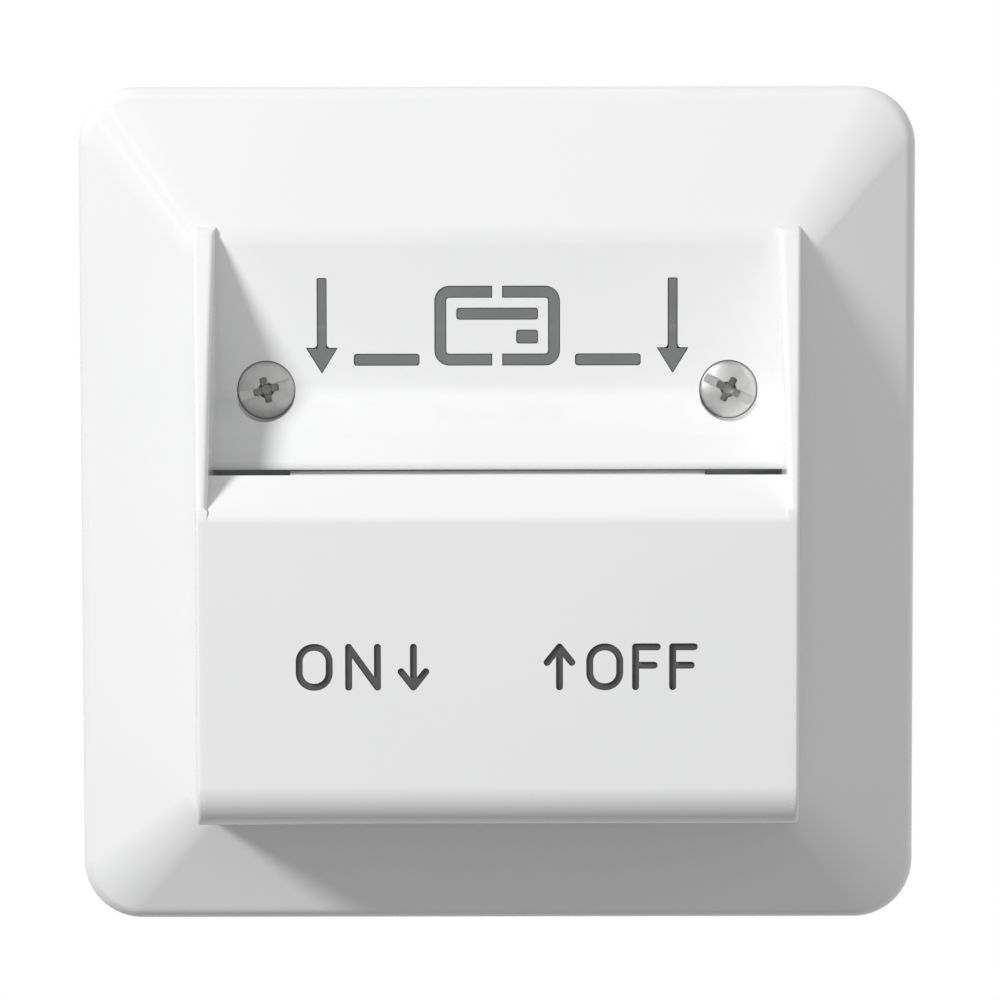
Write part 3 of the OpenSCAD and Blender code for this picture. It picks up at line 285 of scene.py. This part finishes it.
# behind: screw towers cut off below the ramp, ribs that guide the card, bosses for the small screws, pegs
towers = blank("towers", joined([rod(tower_r, 6, tower_top, s * screw_x, screw_y) for s in sides]))
bm = profile([(-20, 0), (30, 0), (30, panel - 0.5), (crease_y - 0.4, panel - 0.5),
              (knee[0] - 0.4, knee[1] - 0.3), (-20, knee[1])], {}, -40, 40)
work(towers, blank("tool", bm), "INTERSECT")
work(cover, towers, "UNION")
inside = [rod(collar_r, collar_low, seat - 0.5, s * screw_x, screw_y) for s in sides]
inside += [slab([(x - rib_half, rib_low), (x + rib_half, rib_low),
                 (x + rib_half, rib_top), (x - rib_half, rib_top)], {}, slot_near, rib_back)
           for x in rib_xs]
inside += [rod(boss_r, foot_top, boss_root, s * guide_screw_x, y) for s in sides for y in guide_screw_ys]
inside += [rod(peg_r, foot_top, peg_root, x, peg_y, 32) for x in peg_xs]
work(cover, blank("tool", joined(inside)), "UNION")

# the screws' seats and holes
holes = [turned([(0, -1), (shank_hole_r, -1), (shank_hole_r, seat), (head_hole_r, seat), (head_hole_r, 8.9),
                 (mouth_r, 10), (mouth_r, 24), (0, 24)], s * screw_x, screw_y)
         for s in sides]
holes += [turned([(0, 3.4), (boss_hole_r, 3.4), (boss_hole_r, 6.6), (0, 6.9)], s * guide_screw_x, y, 32)
          for s in sides for y in guide_screw_ys]
work(cover, blank("tool", joined(holes)), "DIFFERENCE")


def pill(x, y, w, h, r, z0, z1):
    """A bar with round corners around the point x, y."""
    box = [(x - w / 2, y - h / 2), (x + w / 2, y - h / 2), (x + w / 2, y + h / 2), (x - w / 2, y + h / 2)]
    return slab(box, {i: (r, 5) for i in range(4)}, z0, z1)


# the windows: two arrows, a card and the two ends of the slot that it goes into
windows = []
for s in sides:
    x = 17.6 * s
    windows.append(slab([(x - 0.5, 23.2), (x - 0.5, 16.2), (x - 1.6, 16.2), (x, 13.6), (x + 1.6, 16.2),
                         (x + 0.5, 16.2), (x + 0.5, 23.2)],
                        {0: (0.15, 3), 1: (0.35, 4), 3: (0.15, 3), 5: (0.35, 4), 6: (0.15, 3)}, *window_cut))
    windows.append(slab([(0.5 * s, 22.4), (6.3 * s, 22.4), (6.3 * s, 14.4), (0.5 * s, 14.4),
                         (0.5 * s, 15.6), (5.1 * s, 15.6), (5.1 * s, 21.2), (0.5 * s, 21.2)],
                        {1: (1.5, 8), 2: (1.5, 8), 5: (0.3, 4), 6: (0.3, 4)}, *window_cut))
windows.append(pill(0, 19.6, 8.2, 1.2, 0.3, *window_cut))
windows.append(pill(3, 17.3, 2.2, 1.4, 0.3, *window_cut))
windows += [pill(s * 11.1, 15, 6.6, 1.2, 0.3, *window_cut) for s in sides]
work(cover, blank("tool", joined(windows)), "DIFFERENCE")

# the engraved words and arrows on the front, filled with grey paint
white = surface("white gloss plastic", (0.87, 0.87, 0.87), (0.85, 0.855, 0.855), 30, (0.10, 0.15), 700, 2e-6)
dial(white, "Specular IOR Level", 0.35)
paint = surface("engraving paint", (0.10, 0.10, 0.10), (0.08, 0.08, 0.08), 400, (0.5, 0.7), 3000, 2e-5)
cover.data.materials.append(white)
pen = 0.34
letter = 2.285 - pen
legend_y = -14.4
above_front = 0.4


def stroke(deep, x0, y0, x1, y1):
    """One pass of the engraving cutter, round at both ends. No two passes are equally deep."""
    way = Vector((x1 - x0, y1 - y0))
    bm = pill(0, 0, way.length + 2 * pen, 2 * pen, pen * 0.96, -deep, above_front)
    bm.transform(Matrix.Translation(((x0 + x1) / 2, legend_y + (y0 + y1) / 2, pocket_front))
                 @ Matrix.Rotation(math.atan2(way.y, way.x), 4, "Z"))
    return bm


def ring_letter(x, half):
    """Both halves of a round letter."""
    low, high = legend_y - letter - pen, legend_y + letter + pen
    overlap = 0.05
    out_r, in_r = half + pen - overlap, half - pen - overlap
    halves = []
    for s in sides:
        near, far, core = x - overlap * s, x + s * (half + pen), x + s * (half - pen)
        halves.append(slab([(near, high), (far, high), (far, low), (near, low), (near, low + 2 * pen),
                            (core, low + 2 * pen), (core, high - 2 * pen), (near, high - 2 * pen)],
                           {1: (out_r, 12), 2: (out_r, 12), 5: (in_r, 10), 6: (in_r, 10)},
                           pocket_front - 0.25 - 0.01 * s, pocket_front + above_front))
    return halves


lines = [(-14.5, -letter, -14.5, letter), (-11.7, -letter, -11.7, letter), (-14.5, letter, -11.7, -letter),
         (-8.2, letter, -8.2, -letter), (-8.2, -letter, -9.4, -letter + 1.5),
         (-8.2, -letter, -7.0, -letter + 1.5),
         (6.0, letter, 6.0, -letter), (6.0, letter, 4.8, letter - 1.5), (6.0, letter, 7.2, letter - 1.5)]
for x in (13.4, 17.0):
    lines += [(x, -letter, x, letter), (x, letter, x + 2.1, letter), (x, 0.15, x + 1.8, 0.15)]
marks = ring_letter(-17.85, 1.46) + ring_letter(10.4, 1.46)
marks += [stroke(0.2 + 0.01 * i, *line) for i, line in enumerate(lines)]
legend = blank("legend", marks.pop())
for mark in marks:
    work(legend, blank("tool", mark), "UNION")
work(cover, legend, "DIFFERENCE", paint)


def smoothed(piece, angle):
    """Soft shading, with the edges that are sharper than the angle kept crisp."""
    piece.data.shade_smooth()
    piece.data.set_sharp_from_angle(angle=angle)


cover.data.transform(on_wall)
smoothed(cover, crease_angle)
cover.modifiers.new("flat faces", "WEIGHTED_NORMAL").keep_sharp = True
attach(cover, "housing")
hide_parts("cover_plate")

# Light guide: a smoky clear moulding behind the panel, whose raised shapes fill the windows.
# It hangs on three pegs of the cover and carries the lamp's glow to the front.


def finish(node, mat):
    """Gives a solid of the frame its finish."""
    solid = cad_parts[node]
    solid.data.materials.clear()
    solid.data.materials.append(mat)


smoky = surface("smoky clear plastic", (0.42, 0.44, 0.44), (0.36, 0.38, 0.38), 120, (0.08, 0.2), 500, 4e-6)
dial(smoky, "Transmission Weight", 0.55)
dial(smoky, "IOR", 1.49)
finish("light_guide", smoky)

# Cover screws: nickel plated steel, low domed heads with a slot and a cross.
# They pass through the cover's towers into the threaded collars of the ring.
nickel = surface("bright nickel", (0.72, 0.72, 0.71), (0.64, 0.64, 0.635), 900, (0.40, 0.54), 2600, 3e-6,
                 metallic=1.0)
# painted shade: the cross and the pit of the drive get a darker nickel, standing in for the shade inside the
# recess
drive_shade = surface("nickel darkened in the drive as painted shade", (0.44, 0.44, 0.43), (0.36, 0.36, 0.355), 900, (0.4, 0.6), 2600,
               5e-6, metallic=1.0)
head_top = 10
slot_length, slot_wide, slot_floor = 7, 0.95, 8.86
cross_length, cross_wide, cross_floor = 2.6, 0.72, 8.2
worn = 5e-5
for side, name, turn in ((-1, "left", 15), (1, "right", -28)):
    bm = turned([(0, 9.4), (0.6, 9.38), (1.2, 9.31), (1.8, 9.2), (2.3, 9.06), (2.6, 8.94), (2.78, 8.8),
                 (2.87, 8.64), (2.9, 8.45), (2.9, 7.6), (2.82, seat), (1.7, seat), (1.7, -2.6),
                 (1.3, -3), (0, -3)], steps=72)
    head = blank("cover_screw_%s" % name, bm)
    head.data.materials.append(nickel)
    slot = pill(0, 0, slot_length, slot_wide, 0.02, slot_floor, head_top)
    work(head, blank("tool", slot), "DIFFERENCE")
    # the cross and the pit are cut and take the darker nickel, which is painted shade in the drive
    for wide, high in ((cross_length, cross_wide), (cross_wide, cross_length)):
        work(head, blank("tool", pill(0, 0, wide, high, 0.2, cross_floor, head_top)), "DIFFERENCE", drive_shade)
    pit = turned([(0, 8.0), (0.5, 8.1), (0.8, 8.6), (0.8, 9.6), (0, 9.6)], steps=32)
    work(head, blank("tool", pit), "DIFFERENCE", drive_shade)
    head.data.transform(on_wall @ Matrix.Translation((side * screw_x, screw_y, 0))
                        @ Matrix.Rotation(math.radians(turn), 4, "Z"))
    soft = head.modifiers.new("worn edges", "BEVEL")
    soft.width, soft.segments, soft.limit_method, soft.angle_limit = worn, 2, "ANGLE", crease_angle
    smoothed(head, crease_angle)
    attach(head, "housing")
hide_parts("cover_screws")

# Card guide: a matt white moulding behind the pocket, the rear wall of the card's way.
# Its legs end in feet that four small screws hold to bosses of the cover.
sharp_angle = math.radians(35)
flat_angle = math.radians(1)


def eased(node, mat, edge, body="housing"):
    """A solid of the frame with its outer edges eased, as a mould, a press or a file leaves them."""
    bm = bmesh.new()
    bm.from_mesh(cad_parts[node].data)
    bmesh.ops.remove_doubles(bm, verts=bm.verts, dist=1e-6)
    bmesh.ops.dissolve_limit(bm, angle_limit=flat_angle, verts=bm.verts, edges=bm.edges)
    hard = [e for e in bm.edges if e.calc_face_angle() > sharp_angle]
    inner = {v for e in hard if not e.is_convex for v in e.verts}
    rounded(bm, [e for e in hard if not inner.intersection(e.verts)], edge / 1000, 2)
    piece = blank(node + "_eased", bm)
    piece.data.attributes.remove(piece.data.attributes["custom_normal"])
    smoothed(piece, sharp_angle)
    piece.modifiers.new("flat faces", "WEIGHTED_NORMAL").keep_sharp = True
    piece.data.materials.append(mat)
    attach(piece, body)
    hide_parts(node)


matt_white = surface("matt white plastic", (0.80, 0.80, 0.79), (0.74, 0.74, 0.73), 60, (0.45, 0.6), 2500,
                     1e-5)
eased("card_guide", matt_white, 0.15)

# Guide screws: small zinc plated steel screws with a cross in the head.
# They are driven from behind, through the guide's feet into the cover's bosses.
zinc = surface("blue zinc", (0.62, 0.64, 0.66), (0.50, 0.52, 0.55), 500, (0.25, 0.45), 1800, 3e-6,
               metallic=1.0)
eased("guide_screws", zinc, 0.06)

# Flap: a grey, low friction moulding that reaches through the guide into the card's way.
# It turns on a steel pin and its nose pushes the plunger.
grey = surface("grey acetal", (0.60, 0.61, 0.62), (0.53, 0.54, 0.55), 80, (0.32, 0.45), 1600, 6e-6)
eased("card_lever", grey, 0.2, "flap")

# Flap pin: ground steel rod in the guide's lugs, with a turned groove near each end.
# A retaining ring of dark phosphated steel snaps into each groove.
ground = surface("ground steel", (0.64, 0.64, 0.64), (0.55, 0.55, 0.55), 300, (0.18, 0.34), 900, 2e-6,
                 (14, 1, 1), 1.0)
finish("lever_axle", ground)
dark_steel = surface("phosphated steel", (0.24, 0.23, 0.22), (0.17, 0.165, 0.16), 700, (0.4, 0.6), 2400, 4e-6,
                     metallic=1.0)
finish("axle_clips", dark_steel)

# Support ring: stamped sheet steel, zinc plated, with slotted holes for the box screws.
# Two threaded collars on its back take the cover screws.
sheet = surface("rolled zinc sheet", (0.64, 0.66, 0.68), (0.52, 0.54, 0.56), 140, (0.24, 0.46), 420, 4e-6,
                (1, 1, 9), 1.0)
eased("support_ring", sheet, 0.1)

# Insert: box and lid of dark grey moulding compound, closed by four screws.
# Two brass rivets through the lid's ears hold the insert to the ring.
compound = surface("dark moulding compound", (0.10, 0.10, 0.105), (0.07, 0.07, 0.075), 90, (0.45, 0.65), 1900,
                   1.2e-5)
eased("switch_base", compound, 0.18)
lid = surface("lid compound", (0.17, 0.17, 0.175), (0.13, 0.13, 0.135), 90, (0.42, 0.6), 1900, 1.2e-5)
eased("base_cover", lid, 0.12)
dull_brass = surface("dull brass", (0.66, 0.53, 0.28), (0.52, 0.41, 0.21), 350, (0.3, 0.5), 1500, 4e-6,
                     metallic=1.0)
eased("cover_rivets", dull_brass, 0.1)
eased("base_screws", zinc, 0.06)

# Plunger: red acetal, turned, with the contact bar around its neck.
# It slides in the lid's sleeve, pushed in by the flap and out by the return spring.
red = surface("red acetal", (0.62, 0.11, 0.07), (0.52, 0.08, 0.05), 120, (0.28, 0.42), 1400, 5e-6)
eased("plunger", red, 0.12, "slider")

# Return spring: drawn steel wire wound round a pilot on the floor, under the plunger.
# In the switch it is pressed together as the plunger goes in; here the coil is drawn at rest and stays with
# the housing.
plunger_y = -12.0
floor_z = -24.0
return_r, return_wire, return_length, return_turns = 2.0, 0.3, 11.7355, 7
drawn = surface("drawn spring wire", (0.50, 0.50, 0.50), (0.38, 0.38, 0.39), 600, (0.22, 0.4), 2600, 3e-6,
                metallic=1.0)


def coil(name, radius, wire, z0, length, turns):
    """A round wire wound on a mandrel, in its place at the plunger."""
    bm = bmesh.new()
    bmesh.ops.create_circle(bm, cap_ends=False, segments=12, radius=wire,
                            matrix=Matrix.Translation((radius, 0, z0)) @ Matrix.Rotation(math.pi / 2, 4, "X"))
    steps = 32 * turns
    bmesh.ops.spin(bm, geom=bm.verts[:] + bm.edges[:], axis=(0, 0, 1), cent=(0, 0, 0),
                   dvec=(0, 0, length / steps), angle=2 * math.pi * turns, steps=steps)
    bmesh.ops.remove_doubles(bm, verts=bm.verts, dist=1e-5)
    bmesh.ops.translate(bm, verts=bm.verts, vec=(0, plunger_y, 0))
    obj = blank(name, bm)
    obj.data.transform(on_wall)
    smoothed(obj, math.radians(40))
    obj.data.materials.append(drawn)
    return obj


spring = coil("return_coil", return_r, return_wire, floor_z + 0.35, return_length, return_turns)
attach(spring, "housing")
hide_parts("return_spring")
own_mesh(spring)

# Contact bar: stamped copper with two silver tips, pressed on its seat by a small spring.
# Bar, tips and spring sit around the plunger's neck and go with it.
copper = surface("stamped copper", (0.70, 0.40, 0.27), (0.56, 0.30, 0.19), 260, (0.25, 0.45), 900, 4e-6,
                 (8, 1, 1), 1.0)
eased("contact_bridge", copper, 0.1, "slider")
silver = surface("silver alloy", (0.78, 0.77, 0.74), (0.66, 0.65, 0.62), 800, (0.25, 0.45), 2200, 3e-6,
                 metallic=1.0)
finish("bridge_tips", silver)
contact_r, contact_wire, contact_low, contact_length, contact_turns = 2.12, 0.22, -9.1145, 3.9, 4
spring = coil("contact_coil", contact_r, contact_wire, contact_low, contact_length, contact_turns)
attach(spring, "slider")
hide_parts("contact_spring")

# Fixed contacts: stamped brass strips with silver tips, which lie on the box's shelves.
# Each strip ends on the terminal block of its side.
brass = surface("rolled brass", (0.74, 0.60, 0.31), (0.62, 0.49, 0.24), 220, (0.22, 0.42), 800, 4e-6,
                (1, 1, 8), 1.0)
eased("line_contact", brass, 0.1)
eased("load_contact", brass, 0.1)
finish("fixed_tips", silver)

# Terminals: milled brass blocks in the side bays of the box.
# Each has a wire hole from behind and a zinc plated clamp screw from the side.
milled = surface("milled brass", (0.75, 0.61, 0.32), (0.63, 0.50, 0.25), 240, (0.2, 0.4), 700, 4e-6,
                 (1, 9, 1), 1.0)
eased("line_terminal", milled, 0.1)
eased("load_terminal", milled, 0.1)
eased("terminal_screws", zinc, 0.08)

# Locator lamp: a small glow lamp in a nylon clip, with bare leads and a series resistor.
# The clip sits in the lid, and the leads meet the two fixed strips.
nylon = surface("natural nylon", (0.77, 0.76, 0.72), (0.70, 0.69, 0.65), 100, (0.35, 0.5), 1500, 6e-6)
finish("lamp_holder", nylon)
glass = surface("lamp glass", (0.93, 0.84, 0.76), (0.90, 0.79, 0.70), 150, (0.03, 0.1), 600, 2e-6)
dial(glass, "Transmission Weight", 0.9)
finish("locator_lamp", glass)
tinned = surface("tinned wire", (0.68, 0.68, 0.67), (0.58, 0.58, 0.57), 900, (0.25, 0.42), 2500, 2e-6,
                 metallic=1.0)
finish("lamp_leads", tinned)
lacquer = surface("tan lacquer", (0.70, 0.56, 0.36), (0.60, 0.46, 0.29), 500, (0.3, 0.5), 2200, 6e-6)
finish("lamp_resistor", lacquer)

# Camera: a little above the middle of the plate, as the photograph was taken.
# The small turn and the shifts put the plate where the photograph has it.
target = Vector((0, -0.003, 0))
distance, rise, roll = 0.420, math.radians(3.9), math.radians(-0.1)
eye = target + distance * Vector((0, -math.cos(rise), math.sin(rise)))
lens = bpy.data.cameras.new("camera")
camera = bpy.data.objects.new("camera", lens)
bpy.context.scene.collection.objects.link(camera)
turn = (target - eye).to_track_quat("-Z", "Y").to_matrix() @ Matrix.Rotation(roll, 3, "Z")
camera.matrix_world = Matrix.Translation(eye) @ turn.to_4x4()
lens.sensor_width = 36
lens.lens = 148.2
lens.shift_x, lens.shift_y = 0.0025, 0.0047
bpy.context.scene.camera = camera

# Light: an oval softbox high on the left, a ring of small lamps nearer to the lens,
# and a pale room, brightest in front and to the right.
key_way = (-1.22, -1, 0.9)
glint = Vector((-0.481, -0.777, 0.405)).normalized()
ring_lamps, ring_spread, ring_size = 12, 0.09, 0.05


def softbox(name, way, away, wide, high, energy):
    """A round or oval lamp that points at the object."""
    data = bpy.data.lights.new(name, "AREA")
    data.shape = "ELLIPSE"
    data.size, data.size_y = wide, high
    data.energy = energy
    lamp = bpy.data.objects.new(name, data)
    way = Vector(way).normalized()
    aim = (-way).to_track_quat("-Z", "Y").to_matrix().to_4x4()
    lamp.matrix_world = Matrix.Translation(way * away) @ aim
    bpy.context.scene.collection.objects.link(lamp)


softbox("key", key_way, 1.5, 0.4, 0.24, 20.2)
across = glint.cross((0, 0, 1)).normalized()
for i in range(ring_lamps):
    out = Matrix.Rotation(i * 2 * math.pi / ring_lamps, 3, glint) @ across
    softbox("ring_light_%d" % i, glint + ring_spread * out, 1.2, ring_size, ring_size, 0.02)

room_level, room_least = 0.441, 0.03
room_slopes = (("X", 0.081, -0.474), ("Y", 0.0, 0.212), ("Z", -0.14, -0.348))
world = bpy.data.worlds.new("studio")
bpy.context.scene.world = world
world.use_nodes = True
tree = world.node_tree
back = tree.nodes["Background"]
back.inputs["Color"].default_value = (1, 1, 1, 1)


def step(kind, a, b):
    """One sum in the room's light."""
    node = tree.nodes.new("ShaderNodeMath")
    node.operation = kind
    for socket, value in zip(node.inputs, (a, b)):
        if isinstance(value, (int, float)):
            socket.default_value = value
        else:
            tree.links.new(value, socket)
    return node.outputs[0]


room = tree.nodes.new("ShaderNodeTexCoord")
axis = tree.nodes.new("ShaderNodeSeparateXYZ")
tree.links.new(room.outputs["Generated"], axis.inputs[0])
studio = room_level
for name, plus, minus in room_slopes:
    studio = step("ADD", studio, step("MULTIPLY", step("MAXIMUM", axis.outputs[name], 0), plus))
    studio = step("SUBTRACT", studio, step("MULTIPLY", step("MINIMUM", axis.outputs[name], 0), minus))
studio = step("MAXIMUM", studio, room_least)

# the camera sees plain white, and so do mirror and glass towards the wall
behind = tree.nodes.new("ShaderNodeMapRange")
behind.inputs["From Min"].default_value, behind.inputs["From Max"].default_value = -0.1, 0.3
tree.links.new(axis.outputs["Y"], behind.inputs["Value"])
path = tree.nodes.new("ShaderNodeLightPath")
mirror = step("MAXIMUM", path.outputs["Is Glossy Ray"], path.outputs["Is Transmission Ray"])
seen = step("MAXIMUM", path.outputs["Is Camera Ray"], step("MULTIPLY", mirror, behind.outputs["Result"]))
total = tree.nodes.new("ShaderNodeMapRange")
total.inputs["To Max"].default_value = 1.0
tree.links.new(seen, total.inputs["Value"])
tree.links.new(studio, total.inputs["To Min"])
tree.links.new(total.outputs["Result"], back.inputs["Strength"])

# Floor: a plain pale disc far below the switch.
# It is not part of the switch.
floor_r, floor_drop = 0.45, -1.2
bm = bmesh.new()
bmesh.ops.create_circle(bm, cap_ends=True, segments=96, radius=floor_r,
                        matrix=Matrix.Translation((0, 0, floor_drop)))
mesh = bpy.data.meshes.new("floor")
bm.to_mesh(mesh)
bm.free()
ground_disc = bpy.data.objects.new("floor", mesh)
bpy.context.scene.collection.objects.link(ground_disc)
pale = surface("pale floor", (0.80, 0.80, 0.80), (0.78, 0.78, 0.78), 3, (0.6, 0.8), 200, 1e-5)
ground_disc.data.materials.append(pale)

bpy.context.scene.view_settings.view_transform = "Standard"
